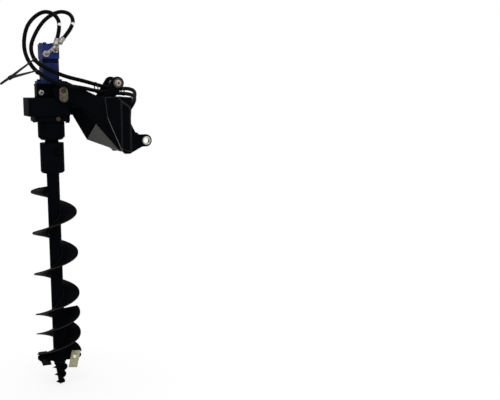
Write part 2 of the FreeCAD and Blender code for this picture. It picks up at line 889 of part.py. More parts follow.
motor_bolts = []
for number, x in enumerate(flange_bolts_x, 1):
    motor_bolts.append(bolt("flange_bolt_%d" % number, s.small_bolt_r, s.small_bolt_flats, s.small_bolt_head,
                            bolt_grip, drive_x + x, 0, motor_body_low, UP))
keep("motor_bolts", group("motor_bolts", motor_bolts))
end_bolts = []
for number, (x, y) in enumerate(end_places, 1):
    end_bolts.append(bolt("end_bolt_%d" % number, s.thin_bolt_r, s.thin_bolt_flats, s.thin_bolt_head,
                          s.port_block_height - 1, drive_x + x, y, port_top, UP))
keep("end_bolts", group("end_bolts", end_bolts))


# Hoses: straight runs joined by tangent arcs, swept with a round section. A hose's loop is measured
# from the drive's axis and its run from the arm pin.

ARC_SHARE = 0.45


def arc_radius(before, corner, after):
    """The radius of the arc at a corner: a share of the shorter run over the tangent of half the turn."""
    first = before - corner
    second = after - corner
    half_turn = (math.pi - first.getAngle(second)) / 2
    return ARC_SHARE * min(first.Length, second.Length) / math.tan(half_turn)


def route_pieces(points):
    """The edges of a route, with the index of the run that each straight edge belongs to."""
    pieces = []
    start = points[0]
    for i in range(1, len(points) - 1):
        first = points[i - 1] - points[i]
        second = points[i + 1] - points[i]
        reach = ARC_SHARE * min(first.Length, second.Length)
        radius = arc_radius(points[i - 1], points[i], points[i + 1])
        first.normalize()
        second.normalize()
        arc_start = points[i] + first * reach
        arc_end = points[i] + second * reach
        inward = first + second
        inward.normalize()
        half_turn = (math.pi - first.getAngle(second)) / 2
        middle = points[i] + inward * (radius / math.cos(half_turn) - radius)
        pieces.append((i - 1, start, arc_start, None))
        pieces.append((None, arc_start, arc_end, middle))
        start = arc_end
    pieces.append((len(points) - 2, start, points[-1], None))
    return pieces


def tube(pieces, radius):
    """A round bar along the pieces of a route."""
    edges = []
    for run, start, end, middle in pieces:
        if middle is None:
            edges.append(Part.LineSegment(start, end).toShape())
        else:
            edges.append(Part.Arc(start, middle, end).toShape())
    path = Part.Wire(edges)
    first = edges[0].tangentAt(edges[0].FirstParameter)
    section = Part.Wire([Part.Circle(pieces[0][1], first, radius).toShape()])
    solid = path.makePipeShell([section], True, True)
    return solid.Solids[0] if solid.Solids else solid


def split_route(pieces, first_run, second_run):
    """Cuts a route in the middle of two of its straight runs."""
    stretches = [[], [], []]
    stage = 0
    for run, start, end, middle in pieces:
        if run in (first_run, second_run):
            half = (start + end) * 0.5
            stretches[stage].append((run, start, half, None))
            stage += 1
            stretches[stage].append((run, half, end, None))
        else:
            stretches[stage].append((run, start, end, middle))
    return stretches


HOSES = {
    "a": {
        "loop": [
            (24, -98, 517), (46, -96, 585), (31, -63, 643), (-17, -17, 661), (-73, 10, 631),
            (-114, 3, 566), (-126, -11, 461), (-94, -51, 374), (-43, -121, 324),
        ],
        "run": [
            (-443, -129, 292), (-333, -132, 276), (-260, -53, 262), (-171, -26, 246), (-48, -8, 242),
            (7, 71, 214), (-15, 144, 141), (-66, 157, 108), (-80, 152, 32),
        ],
        "splits": (8, 10),
        "port": (s.port_a_x, s.port_a_rise),
    },
    "b": {
        "loop": [
            (58, -88, 521), (116, -78, 580), (122, -22, 642), (72, 42, 662), (-5, 70, 626),
            (-63, 31, 546), (-92, -1, 471), (-79, -55, 403), (-17, -89, 364),
        ],
        "run": [
            (-403, -86, 330), (-311, -60, 310), (-217, -20, 285), (-130, 1, 264), (-55, 21, 271),
            (15, 90, 250), (10, 166, 171), (-36, 187, 120), (-52, 182, 42),
        ],
        "splits": (8, 10),
        "port": (s.port_b_x, s.port_b_rise),
    },
}
hose_radius = plain(s.hose_r)
elbows = []
ferrules = []
tails = {}
loops = {}
for letter, hose in HOSES.items():
    points = [V(*place) + V(plain(drive_x), 0, 0) for place in hose["loop"]] + [V(*place) for place in hose["run"]]
    stretches = split_route(route_pieces(points), *hose["splits"])
    for word, stretch in zip(("loop", "bend", "tail"), stretches):
        label = "hose_%s_%s" % (letter, word)
        item = doc.addObject("Part::Feature", label)
        item.Shape = tube(stretch, hose_radius)
        keep(label, item)
    tails[letter] = stretches[2]
    loops[letter] = stretches[0]

    out = points[0] - points[1]
    out.normalize()
    ferrule_foot = points[0] + out * plain(s.ferrule_length)
    name = "ferrule_" + letter
    sleeve = rod(name + "_sleeve", s.ferrule_r, s.ferrule_length, *ferrule_foot, direction=-out)
    nut = hexagon(name + "_nut", s.ferrule_nut_flats, s.ferrule_nut_height, *ferrule_foot, direction=-out)
    ferrules.append(fuse(name, [sleeve, nut]))

    port_x, port_rise = hose["port"]
    port = point(drive_x + port_x, -s.port_block_half_y, port_rise)
    knee = port - ALONG_Y * plain(s.elbow_out)
    neck = ferrule_foot + out * plain(s.elbow_r)
    elbow = doc.addObject("Part::Feature", "elbow_%s_tube" % letter)
    elbow.Shape = tube(route_pieces([port, knee, neck, ferrule_foot]), plain(s.elbow_r))
    port_nut = hexagon("elbow_%s_nut" % letter, s.port_nut_flats, s.port_nut_height,
                       drive_x + port_x, -s.port_block_half_y, port_rise, -ALONG_Y)
    elbows.append(fuse("elbow_" + letter, [elbow, port_nut]))

    down = points[-1] - points[-2]
    down.normalize()
    name = "coupler_" + letter
    sleeve = rod(name + "_sleeve", s.coupler_sleeve_r, s.coupler_length, *points[-1], direction=down)
    collar_at = points[-1] + down * plain(s.coupler_collar_from)
    collar = rod(name + "_collar", s.coupler_r, s.coupler_collar_length, *collar_at, direction=down)
    nut = hexagon(name + "_nut", s.coupler_nut_flats, s.coupler_nut_height, *points[-1], direction=down)
    keep("hose_" + name, fuse(name, [sleeve, collar, nut]))
keep("hose_fittings", group("hose_fittings", elbows + ferrules))


PLANE_SIDE = 2000


def crossing(stretch, place, normal):
    """Where the centre line of a stretch of hose passes a plane, and its direction there."""
    cutter = Part.makePlane(PLANE_SIDE, PLANE_SIDE, place, normal)
    cutter.translate(place - cutter.CenterOfMass)
    for run, start, end, middle in stretch:
        curve = Part.LineSegment(start, end) if middle is None else Part.Arc(start, middle, end)
        edge = curve.toShape()
        if (start - place).dot(normal) * (end - place).dot(normal) <= 0:
            found = edge.section(cutter).Vertexes
            if found:
                return found[0].Point, edge.tangentAt(edge.Curve.parameter(found[0].Point))
    raise RuntimeError("the hose does not pass the plane of the tie")


def tie_band(first, second, normal):
    """A flat band round two hoses that lie side by side."""
    apart = second - first
    inner = hose_radius + plain(s.tie_clear)
    width = plain(s.tie_width)
    solids = []
    for radius in (inner + plain(s.tie_thick), inner):
        slab = Part.makeBox(apart.Length, 2 * radius, width, V(0, -radius, 0))
        ends = [Part.makeCylinder(radius, width, V(place, 0, 0)) for place in (0, apart.Length)]
        solids.append(slab.multiFuse(ends).removeSplitter())
    band = solids[0].cut(solids[1])
    turn = FreeCAD.Rotation(apart, normal.cross(apart), normal, "ZXY")
    band.Placement = FreeCAD.Placement(first - normal * (width / 2), turn)
    return band


TIE_REACHES = (240, 88)
ties = []
for number, reach in enumerate(TIE_REACHES, 1):
    first, normal = crossing(tails["a"], V(-reach, 0, 0), ALONG_X)
    second, other = crossing(tails["b"], first, normal)
    item = doc.addObject("Part::Feature", "hose_tie_%d" % number)
    item.Shape = tie_band(first, second, normal)
    ties.append(item)
keep("hose_ties", group("hose_ties", ties))

# The loose tie: it hangs on both hoses by a turn round each, and its head and tail stand off in front.
HEAD_FROM_AXIS = V(-205, -70, 328)
TAIL_FROM_AXIS = V(-257, -90, 299)
head_place = HEAD_FROM_AXIS + V(plain(drive_x), 0, 0)
tail_place = TAIL_FROM_AXIS + V(plain(drive_x), 0, 0)
tie_thick = plain(s.tie_thick)
loose_width = plain(s.loose_tie_width)


def bar(start, end, across, width, thick):
    """A flat bar from one place to another, its width along the second direction."""
    along = end - start
    item = Part.makeBox(along.Length, width, thick, V(0, -width / 2, -thick / 2))
    item.Placement = FreeCAD.Placement(start, FreeCAD.Rotation(along, across, along.cross(across), "XYZ"))
    return item


def strand(centre, tangent):
    """A turn of the tie round a hose, and its straight part from there to the head."""
    inner = hose_radius + plain(s.tie_clear)
    low = centre - tangent * (loose_width / 2)
    turn_round = Part.makeCylinder(inner + tie_thick, loose_width, low, tangent)
    hole = Part.makeCylinder(inner, loose_width, low, tangent)
    side = (head_place - centre).cross(tangent)
    side.normalize()
    start = centre + side * (inner + tie_thick / 2)
    return turn_round.cut(hole).fuse(bar(start, head_place, tangent, loose_width, tie_thick))


TURN_LEVELS = {"a": 354, "b": 413}
loose_pieces = []
for letter, level in TURN_LEVELS.items():
    centre, tangent = crossing(loops[letter], V(0, 0, level), UP)
    loose_pieces.append(strand(centre, tangent))
    head_across = tangent
tail_way = tail_place - head_place
loose_pieces.append(bar(head_place, tail_place, head_across, loose_width, tie_thick))
tail_way.normalize()
head_start = head_place - tail_way * (plain(s.loose_head_length) / 2)
head_end = head_place + tail_way * (plain(s.loose_head_length) / 2)
head_width = loose_width + 2 * tie_thick
loose_pieces.append(bar(head_start, head_end, head_across, head_width, plain(s.loose_head_thick)))
loose = doc.addObject("Part::Feature", "loose_tie")
loose.Shape = loose_pieces[0].multiFuse(loose_pieces[1:]).removeSplitter()
keep("loose_tie", loose)

# Planetary gears. A gear is a blank with one tooth gap cut out and repeated round the axis.

ADDENDUM = 0.9
DEDENDUM = 1.25
PRESSURE = math.radians(20)


def roll_angle(radius, base):
    """The involute's polar angle at a radius, measured from the base circle."""
    if radius <= base:
        return 0
    pressure = math.acos(base / radius)
    return math.tan(pressure) - pressure


def tooth_gap(teeth, inner, outer, internal=False):
    """The outline of one tooth gap across the X axis, from an inner radius to an outer one."""
    module = plain(s.tooth_module)
    pitch_r = module * teeth / 2
    base = pitch_r * math.cos(PRESSURE)
    tooth_half = (math.pi * module / 2 - plain(s.tooth_backlash)) / 2 / pitch_r
    gap_half = math.pi / teeth - tooth_half
    gap = []
    for radius in (inner, pitch_r, outer):
        drift = roll_angle(radius, base) - roll_angle(pitch_r, base)
        half = gap_half - drift if internal else gap_half + drift
        gap.append((radius * math.cos(half), radius * math.sin(half)))
    return gap + [(a, -b) for a, b in reversed(gap)]


def cut_teeth(body, teeth, low, high, outline):
    gap = pocket(body, "XY", low, high, outline)
    pattern = body.newObject("PartDesign::PolarPattern", body.Name + "_teeth")
    pattern.Originals = [gap]
    pattern.Axis = (gap.Profile[0], ["N_Axis"])
    pattern.Angle = 360
    pattern.Occurrences = teeth
    body.Tip = pattern
    doc.recompute()


module = s.tooth_module
sun_count = int(plain(s.sun_teeth))
planet_count = int(plain(s.planet_teeth))
ring_count = sun_count + 2 * planet_count
sun_tip = module * (sun_count / 2 + ADDENDUM)
planet_tip = module * (planet_count / 2 + ADDENDUM)
ring_tip = module * (ring_count / 2 - ADDENDUM)
planet_arm = module * (sun_count + planet_count) / 2
TIP_SPARE = 1

sun = new_body("sun_gear")
put(sun, drive_x, 0, 0, about_axis(180 / sun_count))
pad(sun, "XY", s.ring_low, s.planet_high + 1, circles=[(0, 0, sun_tip)])
cut_teeth(sun, sun_count, s.ring_low, s.planet_high + 1,
          tooth_gap(sun_count, plain(module) * (sun_count / 2 - DEDENDUM), plain(sun_tip) + TIP_SPARE))
pad(sun, "XY", s.planet_high + 1, s.cradle_high, circles=[(0, 0, s.sun_stem_r)])
keep("sun_gear", sun)
shaft = new_body("motor_shaft")
put(shaft, drive_x, 0, 0)
pad(shaft, "XY", s.cradle_high, s.motor_shaft_high, circles=[(0, 0, s.motor_shaft_r)])
keep("motor_shaft", shaft)

PLANETS = 3
planet_angles = [90 + 360 * i / PLANETS for i in range(PLANETS)]
for number, angle in enumerate(planet_angles, 1):
    across = planet_arm * math.cos(math.radians(angle))
    aside = planet_arm * math.sin(math.radians(angle))
    planet = new_body("planet_gear_%d" % number)
    put(planet, drive_x + across, aside, 0, about_axis(180 / planet_count))
    pad(planet, "XY", s.planet_low, s.planet_high,
        circles=[(0, 0, planet_tip), (0, 0, s.planet_pin_r + s.running_clear)])
    cut_teeth(planet, planet_count, s.planet_low, s.planet_high,
              tooth_gap(planet_count, plain(module) * (planet_count / 2 - DEDENDUM),
                        plain(planet_tip) + TIP_SPARE))
    keep("planet_gear_%d" % number, planet)

gear_ring = new_body("ring_gear")
put(gear_ring, drive_x, 0, 0, about_axis(180 / ring_count))
pad(gear_ring, "XY", s.ring_low, s.ring_high, circles=[(0, 0, s.ring_outer_r), (0, 0, ring_tip)])
cut_teeth(gear_ring, ring_count, s.ring_low, s.ring_high,
          tooth_gap(ring_count, plain(ring_tip) - TIP_SPARE, plain(module) * (ring_count / 2 + DEDENDUM), True))
keep("ring_gear", gear_ring)

carrier = new_body("planet_carrier")
put(carrier, drive_x, 0, 0)
carrier_high = s.carrier_low + s.carrier_thick
pad(carrier, "XY", s.carrier_low, carrier_high, circles=[(0, 0, s.carrier_r)])
for angle in planet_angles:
    across = planet_arm * math.cos(math.radians(angle))
    aside = planet_arm * math.sin(math.radians(angle))
    pad(carrier, "XY", carrier_high, s.planet_low - s.stop_gap,
        circles=[(across, aside, s.planet_pin_r + s.bush_wall)])
    pad(carrier, "XY", s.planet_low - s.stop_gap, s.planet_high + 1, circles=[(across, aside, s.planet_pin_r)])
keep("planet_carrier", carrier)

# Lower housing, bearings and seal.

foot = new_body("lower_housing")
put(foot, drive_x, 0, 0)
rounded_block(foot, -s.foot_front, s.foot_rear, s.foot_half, s.foot_low, s.cradle_low, s.foot_corner)
barrel = [
    (0, s.barrel_low),
    (s.barrel_r - s.barrel_corner, s.barrel_low),
    (s.barrel_r, s.barrel_low + s.barrel_corner),
    (s.barrel_r, s.foot_low + 1),
    (0, s.foot_low + 1),
]
revolve(foot, barrel)
bore_low = s.seal_low + s.seal_thick + 1
carrier_room = s.carrier_r + s.pin_clear * 10
pocket(foot, "XY", bore_low, s.cradle_low, circles=[(0, 0, s.bearing_bore)])
pocket(foot, "XY", s.barrel_low, bore_low, circles=[(0, 0, s.seal_outer + s.pin_clear)])
foot_places = [(x, y) for x in (-s.foot_bolt_x, s.foot_bolt_x) for y in (-s.foot_bolt_y, s.foot_bolt_y)]
pocket(foot, "XY", s.foot_low, s.cradle_low, circles=[(x, y, bolt_bore) for x, y in foot_places])
keep("lower_housing", foot)
pocket(cradle, "XY", s.cradle_low, s.cradle_low + s.cradle_roof,
       circles=[(x, y, bolt_bore) for x, y in foot_places])

foot_bolts = []
for number, (x, y) in enumerate(foot_places, 1):
    foot_bolts.append(bolt("foot_bolt_%d" % number, s.small_bolt_r, s.small_bolt_flats, s.small_bolt_head,
                           s.cradle_low - s.foot_low + s.cradle_roof - 1, drive_x + x, y, s.foot_low, -UP))
keep("foot_bolts", group("foot_bolts", foot_bolts))

cup_r = s.bearing_bore - s.bearing_fit
cone_bore = s.shaft_r + s.running_clear
cups = []
cones = []
roller_sets = []
roller_row_r = (cup_r - s.cup_wall + cone_bore + s.cone_wall) / 2
for word, low in (("upper", s.upper_bearing), ("lower", s.lower_bearing)):
    high = low + s.bearing_width
    cups.append(ring("cup_" + word, cup_r - s.cup_wall, cup_r, low, high, drive_x))
    cones.append(ring("cone_" + word, cone_bore, cone_bore + s.cone_wall, low, high, drive_x))
    pieces = [ring("cage_" + word, roller_row_r - 1, roller_row_r + 1, low + 1, high - 1, drive_x)]
    for number in range(int(plain(s.rollers_per_row))):
        angle = 2 * math.pi * number / plain(s.rollers_per_row)
        pieces.append(rod("roller_%s_%d" % (word, number + 1), s.roller_r, s.bearing_width - 4,
                          drive_x + roller_row_r * math.cos(angle), roller_row_r * math.sin(angle), low + 2))
    roller_sets.append(fuse("roller_set_" + word, pieces))
keep("bearing_cups", group("bearing_cups", cups))
keep("bearing_cones", group("bearing_cones", cones))
keep("roller_sets", group("roller_sets", roller_sets))

keep("shaft_seal", ring("shaft_seal", s.seal_inner, s.seal_outer, s.seal_low, s.seal_low + s.seal_thick, drive_x))
plug_length = s.foot_half - s.bearing_bore - 1
pocket(foot, "XZ", -s.foot_half, -s.foot_half + plug_length - 4, circles=[(s.plug_x, s.plug_rise, s.plug_r)])
plug_head = hexagon("plug_head", s.plug_r * 2.4, 4, drive_x + s.plug_x, -s.foot_half, s.plug_rise, -ALONG_Y)
plug_stem = rod("plug_stem", s.plug_r - s.pin_clear, plug_length - 5, drive_x + s.plug_x, -s.foot_half,
                s.plug_rise, ALONG_Y)
keep("fill_plug", fuse("fill_plug", [plug_head, plug_stem]))

# Output shaft, socket and cross bolt, turned so that the bolt runs along their own X axis.

socket_turn = about_axis(s.socket_azimuth)
shaft_steps = [
    (0, s.shaft_spigot_low),
    (s.shaft_spigot_r, s.shaft_spigot_low),
    (s.shaft_spigot_r, s.socket_top),
    (s.shaft_shoulder_r, s.socket_top),
    (s.shaft_shoulder_r, bore_low),
    (s.shaft_r, bore_low),
    (s.shaft_r, s.carrier_low),
    (0, s.carrier_low),
]
output = new_body("output_shaft")
revolve(output, shaft_steps)
cross_bore = s.big_bolt_r + s.pin_clear
pocket(output, "YZ", -s.socket_r, s.socket_r, circles=[(0, s.cross_bolt_rise, cross_bore)])
put(output, drive_x, 0, 0, socket_turn)
keep("output_shaft", output)

tube_seat = s.tube_r + s.tube_fit
spigot_seat = s.shaft_spigot_r + s.pin_clear
socket = new_body("hub_socket")
socket_profile = [
    (spigot_seat, s.socket_top),
    (s.socket_r, s.socket_top),
    (s.socket_r, s.socket_low + s.socket_chamfer),
    (s.socket_r - s.socket_chamfer, s.socket_low),
    (tube_seat, s.socket_low),
    (tube_seat, s.tube_top),
    (s.tube_r - s.tube_wall, s.tube_top),
    (s.tube_r - s.tube_wall, s.socket_floor),
    (spigot_seat, s.socket_floor),
]
revolve(socket, socket_profile)
pocket(socket, "YZ", -s.socket_r, s.socket_r, circles=[(0, s.cross_bolt_rise, cross_bore)])
flat = s.socket_r - s.socket_flat_depth
flat_outline = rectangle(-s.socket_flat_width / 2, s.socket_flat_width / 2,
                         s.cross_bolt_rise - s.socket_flat_height / 2, s.cross_bolt_rise + s.socket_flat_height / 2)
pocket(socket, "YZ", flat, s.socket_r + 1, flat_outline)
pocket(socket, "YZ", -s.socket_r - 1, -flat, flat_outline)
put(socket, drive_x, 0, 0, socket_turn)
keep("hub_socket", socket)

bolt_way = socket_turn.multVec(ALONG_X)
seat_x = drive_x + flat * bolt_way.x
seat_y = flat * bolt_way.y
cross = bolt("cross_bolt_body", s.big_bolt_r, s.big_bolt_flats, s.big_bolt_head,
             flat * 2 + s.big_bolt_head * 1.5, seat_x, seat_y, s.cross_bolt_rise, bolt_way)
nut = hexagon("cross_nut", s.big_bolt_flats, s.big_bolt_head * 1.3,
              drive_x - flat * bolt_way.x, -seat_y, s.cross_bolt_rise, -bolt_way)
keep("cross_bolt", fuse("cross_bolt", [cross, nut]))

# Auger: tube, two flights, pilot bit and two bolted teeth on holders.

keep("auger_tube", ring("auger_tube", s.tube_r - s.tube_wall, s.tube_r, s.tube_low, s.tube_top, drive_x))


SCREW_TAPER = 11
SCREW_STARTS = 2


def flight(label, low, azimuth, rise):
    """A flight: a flat bar section turned and raised round the tube, right-handed."""
    body = new_body(label)
    inner = s.tube_r + s.pin_clear
    half = s.flight_thick / 2
    profile = sketch(body, "XZ", 0, rectangle(inner, s.flight_r, -half, half))
    feature = body.newObject("PartDesign::AdditiveHelix", label + "_helix")
    feature.Profile = profile
    feature.ReferenceAxis = (profile, ["V_Axis"])
    feature.Mode = 0
    feature.LeftHanded = False
    bind(feature, "Pitch", s.flight_pitch)
    bind(feature, "Height", rise)
    put(body, drive_x, 0, low, about_axis(azimuth))
    return keep(label, body)


flight("main_flight", s.flight_low, s.head_azimuth + 180, s.flight_rise)
flight("second_flight", s.second_low, s.head_azimuth, s.second_rise)

bit_fit_r = s.tube_r - s.tube_wall - s.pin_clear
bit_profile = [
    (0, s.tube_low + s.bit_shank),
    (bit_fit_r, s.tube_low + s.bit_shank),
    (bit_fit_r, s.tube_low),
    (s.bit_r, s.tube_low),
    (s.bit_r, s.tube_low - s.bit_collar),
    (s.bit_neck_r, s.tube_low - s.bit_collar - s.bit_shoulder),
    (s.bit_point_r, s.bit_tip + s.bit_point),
    (s.bit_tip_r, s.bit_tip),
    (0, s.bit_tip),
]
bit = turned("pilot_bit", bit_profile, drive_x, turn=about_axis(s.screw_azimuth))
screw_root = s.bit_point_r / 2
screw_edge = s.bit_point_r + s.screw_proud
screw_half = s.screw_thick / 2
screw_profile = sketch(bit, "XZ", 0, [
    (screw_root, s.screw_low - screw_half),
    (screw_edge, s.screw_low),
    (screw_root, s.screw_low + screw_half),
])
screw = bit.newObject("PartDesign::AdditiveHelix", "bit_screw")
screw.Profile = screw_profile
screw.ReferenceAxis = (screw_profile, ["V_Axis"])
screw.Mode = 0
screw.LeftHanded = False
bind(screw, "Pitch", s.screw_lead)
bind(screw, "Height", s.screw_lead * s.screw_turns)
screw.Angle = SCREW_TAPER
doc.recompute()
starts = bit.newObject("PartDesign::PolarPattern", "bit_screw_starts")
starts.Originals = [screw]
starts.Axis = (screw_profile, ["V_Axis"])
starts.Angle = 360
starts.Occurrences = SCREW_STARTS
bit.Tip = starts
doc.recompute()
keep("pilot_bit", bit)

TOOTH_RAKE = 20
head_half = s.holder_thick / 2
holders = []
teeth = []
tooth_bolts = []
tooth_face = head_half + s.tooth_thick
bolt_x = (s.tooth_top_x + s.tooth_low_x) / 2
bolt_hole = (bolt_x, s.tooth_bolt_rise, s.small_bolt_r + s.pin_clear)
lean = math.radians(TOOTH_RAKE)
lean_back = -s.head_rise * math.sin(lean)
lean_down = s.head_rise * (1 - math.cos(lean))
for number, flight_end in ((1, s.second_low), (2, s.flight_low)):
    azimuth = plain(s.head_azimuth) + 180 * (number - 1)
    turn = about_axis(azimuth).multiply(FreeCAD.Rotation(ALONG_X, -TOOTH_RAKE))
    round_x = drive_x - lean_back * math.sin(math.radians(azimuth))
    round_y = lean_back * math.cos(math.radians(azimuth))
    holder_top = flight_end - s.flight_thick / 2 - s.holder_drop
    holder = new_body("holder_%d" % number)
    outline = [
        (s.tube_r / 2, s.holder_low),
        (s.holder_reach - s.holder_nose, s.holder_low),
        (s.holder_reach, s.holder_low + s.holder_nose),
        (s.holder_reach, holder_top - s.holder_nose / 2),
        (s.holder_reach - s.holder_nose, holder_top),
        (s.tube_r / 2, holder_top),
    ]
    pad(holder, "XZ", -head_half, head_half, outline)
    pocket(holder, "XZ", -head_half, head_half, circles=[bolt_hole])
    put(holder, round_x, round_y, lean_down, turn)
    tube_room = rod("tube_room_%d" % number, s.tube_r + s.pin_clear, s.holder_reach, drive_x, 0,
                    s.head_rise - s.holder_reach / 2)
    holders.append(cut("holder_on_tube_%d" % number, holder, tube_room))

    tooth = new_body("tooth_%d" % number)
    half = s.tooth_width / 2
    outline = [
        (s.tooth_low_x - half, s.tooth_low + s.tooth_skew),
        (s.tooth_low_x + half, s.tooth_low),
        (s.tooth_top_x + half, s.tooth_top),
        (s.tooth_top_x - half, s.tooth_top + s.tooth_skew),
    ]
    pad(tooth, "XZ", -tooth_face, -head_half, outline, [bolt_hole])
    put(tooth, round_x, round_y, lean_down, turn)
    teeth.append(tooth)

    foot = V(plain(round_x), plain(round_y), plain(lean_down))
    facing = turn.multVec(-ALONG_Y)
    place = turn.multVec(point(bolt_x, -tooth_face, s.tooth_bolt_rise)) + foot
    name = "tooth_bolt_%d" % number
    body_solid = bolt(name + "_body", s.small_bolt_r, s.small_bolt_flats, s.small_bolt_head,
                      tooth_face + head_half + s.big_bolt_head, *place, direction=facing)
    nut_place = turn.multVec(point(bolt_x, head_half, s.tooth_bolt_rise)) + foot
    nut = hexagon(name + "_nut", s.small_bolt_flats, s.small_bolt_head, *nut_place, direction=-facing)
    tooth_bolts.append(fuse(name, [body_solid, nut]))
keep("tooth_holders", group("tooth_holders", holders))
keep("cutting_teeth", group("cutting_teeth", teeth))
keep("tooth_bolts", group("tooth_bolts", tooth_bolts))

# Every feature has to have worked before any piece is written.

doc.recompute()
for item in doc.Objects:
    if "Invalid" in item.State or "Error" in item.State:
        raise RuntimeError("%s failed: %s" % (item.Name, item.State))
os.makedirs("parts", exist_ok=True)
for label, item in parts.items():
    shape = item.Shape
    if shape.isNull() or not shape.isValid():
        raise RuntimeError(label + " has no valid shape")
    if not shape.Solids:
        raise RuntimeError(label + " holds no solid")
    shape.exportStep("parts/%s.step" % label)
print("%d pieces written" % len(parts))
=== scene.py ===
import json
import math

import bpy
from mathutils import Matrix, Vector

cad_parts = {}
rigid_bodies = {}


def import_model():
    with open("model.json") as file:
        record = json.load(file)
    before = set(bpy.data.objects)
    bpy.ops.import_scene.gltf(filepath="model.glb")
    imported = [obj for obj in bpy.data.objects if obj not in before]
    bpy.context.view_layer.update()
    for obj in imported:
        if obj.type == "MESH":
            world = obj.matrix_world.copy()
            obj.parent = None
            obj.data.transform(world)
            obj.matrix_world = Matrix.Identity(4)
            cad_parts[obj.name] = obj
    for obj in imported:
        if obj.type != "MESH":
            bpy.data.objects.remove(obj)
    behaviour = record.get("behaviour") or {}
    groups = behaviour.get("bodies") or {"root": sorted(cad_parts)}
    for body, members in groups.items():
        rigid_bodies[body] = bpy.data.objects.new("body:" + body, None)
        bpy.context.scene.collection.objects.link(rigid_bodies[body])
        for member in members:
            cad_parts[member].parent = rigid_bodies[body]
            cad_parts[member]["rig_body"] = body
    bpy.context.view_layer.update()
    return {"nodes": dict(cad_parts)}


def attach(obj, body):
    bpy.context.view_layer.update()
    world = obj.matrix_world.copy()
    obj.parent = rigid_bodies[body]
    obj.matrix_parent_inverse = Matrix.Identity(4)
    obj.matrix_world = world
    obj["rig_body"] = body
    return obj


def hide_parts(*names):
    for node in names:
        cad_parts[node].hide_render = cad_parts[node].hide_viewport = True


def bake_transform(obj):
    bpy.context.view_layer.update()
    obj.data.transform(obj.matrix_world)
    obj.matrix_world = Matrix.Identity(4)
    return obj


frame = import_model()
nodes = frame["nodes"]

# The stand and the view. The attachment hangs as on its loader, its bit just over a pale floor.
# A long lens looks at it from the keeper side, from about the height of the motor's foot.
TILT_DOWN = 8.38
ROLL = 0.172
TURN = -25.52
eye = bpy.data.cameras.new("eye")
eye.lens = 61.2
eye.sensor_width = 36.0
eye.clip_end = 60.0
camera = bpy.data.objects.new("camera", eye)
camera.location = (-1.4233, -4.3471, 0.338)
camera.rotation_euler = [math.radians(part) for part in (90 - TILT_DOWN, ROLL, TURN)]
bpy.context.collection.objects.link(camera)
bpy.context.scene.camera = camera
bpy.context.scene.view_settings.view_transform = "Standard"

FLOOR_HEIGHT = -1.292
bpy.ops.mesh.primitive_plane_add(size=40, location=(-0.45, 0, FLOOR_HEIGHT))
floor = bpy.context.object
floor.name = "floor"


class Wire:
    """A value in a finish's node tree. Sums and products of wires add Math nodes to that tree."""

    def __init__(self, tree, socket=None):
        self.tree = tree
        self.socket = socket

    def node(self, kind, settings=None, values=None, output=0):
        made = self.tree.nodes.new("ShaderNode" + kind)
        for name, value in (settings or {}).items():
            if name == "stops":
                ramp = made.color_ramp.elements
                while len(ramp) < len(value):
                    ramp.new(1)
                for element, (place, level) in zip(ramp, value):
                    element.position = place
                    element.color = (level, level, level, 1)
            else:
                setattr(made, name, value)
        for name, value in (values or {}).items():
            if isinstance(value, Wire):
                self.tree.links.new(value.socket, made.inputs[name])
            else:
                made.inputs[name].default_value = value
        return Wire(self.tree, made.outputs[output] if made.outputs else None)

    def maths(self, operation, first, second):
        return self.node("Math", {"operation": operation}, {0: first, 1: second})

    def __add__(self, other):
        return self.maths("ADD", self, other)

    def __radd__(self, other):
        return self.maths("ADD", other, self)

    def __sub__(self, other):
        return self.maths("SUBTRACT", self, other)

    def __rsub__(self, other):
        return self.maths("SUBTRACT", other, self)

    def __mul__(self, other):
        return self.maths("MULTIPLY", self, other)

    def __rmul__(self, other):
        return self.maths("MULTIPLY", other, self)

    def __gt__(self, other):
        return self.maths("GREATER_THAN", self, other)

    def __lt__(self, other):
        return self.maths("LESS_THAN", self, other)

    def place(self):
        """The place on the object."""
        return self.node("TexCoord", output="Object")

    def part(self, axis):
        """One part of a vector, by its axis."""
        return self.node("SeparateXYZ", values={0: self}, output=axis)

    def scaled(self, *shares):
        """A vector with each part times its share."""
        return self.node("VectorMath", {"operation": "MULTIPLY"}, {0: self, 1: shares})

    def distance(self, spot):
        """How far this place lies from a spot."""
        return self.node("VectorMath", {"operation": "DISTANCE"}, {0: self, 1: spot}, output="Value")

    def past(self, line):
        """How far, seen from the side, this place lies past a line through the origin."""
        return self.node("VectorMath", {"operation": "DOT_PRODUCT"},
                         {0: self, 1: (line.z, 0, -line.x)}, output="Value")

    def noise(self, scale, detail, roughness=0.5):
        return self.node("TexNoise", values={
            "Vector": self, "Scale": scale, "Detail": detail, "Roughness": roughness})

    def ramp(self, low, high):
        """Nothing where this value is below the first level, all where it is above the second."""
        return self.node("ValToRGB", {"stops": [(low, 0.0), (high, 1.0)]}, {"Fac": self})

    def bump(self, strength, depth):
        return self.node("Bump", values={"Strength": strength, "Distance": depth, "Height": self})

    def paint(self, share, under, over):
        """The first colour, with the second laid over it by the share."""
        return self.node("Mix", {"data_type": "RGBA"}, {0: share, 6: under, 7: over}, output=2)


def light_rays(tree):
    """The camera's share of a ray and the share of the rays that mirrors and glass send."""
    start = Wire(tree)
    camera_ray = start.node("LightPath")
    glossy_ray = start.node("LightPath", output="Is Glossy Ray")
    glass_ray = start.node("LightPath", output="Is Transmission Ray")
    return camera_ray, glossy_ray + glass_ray


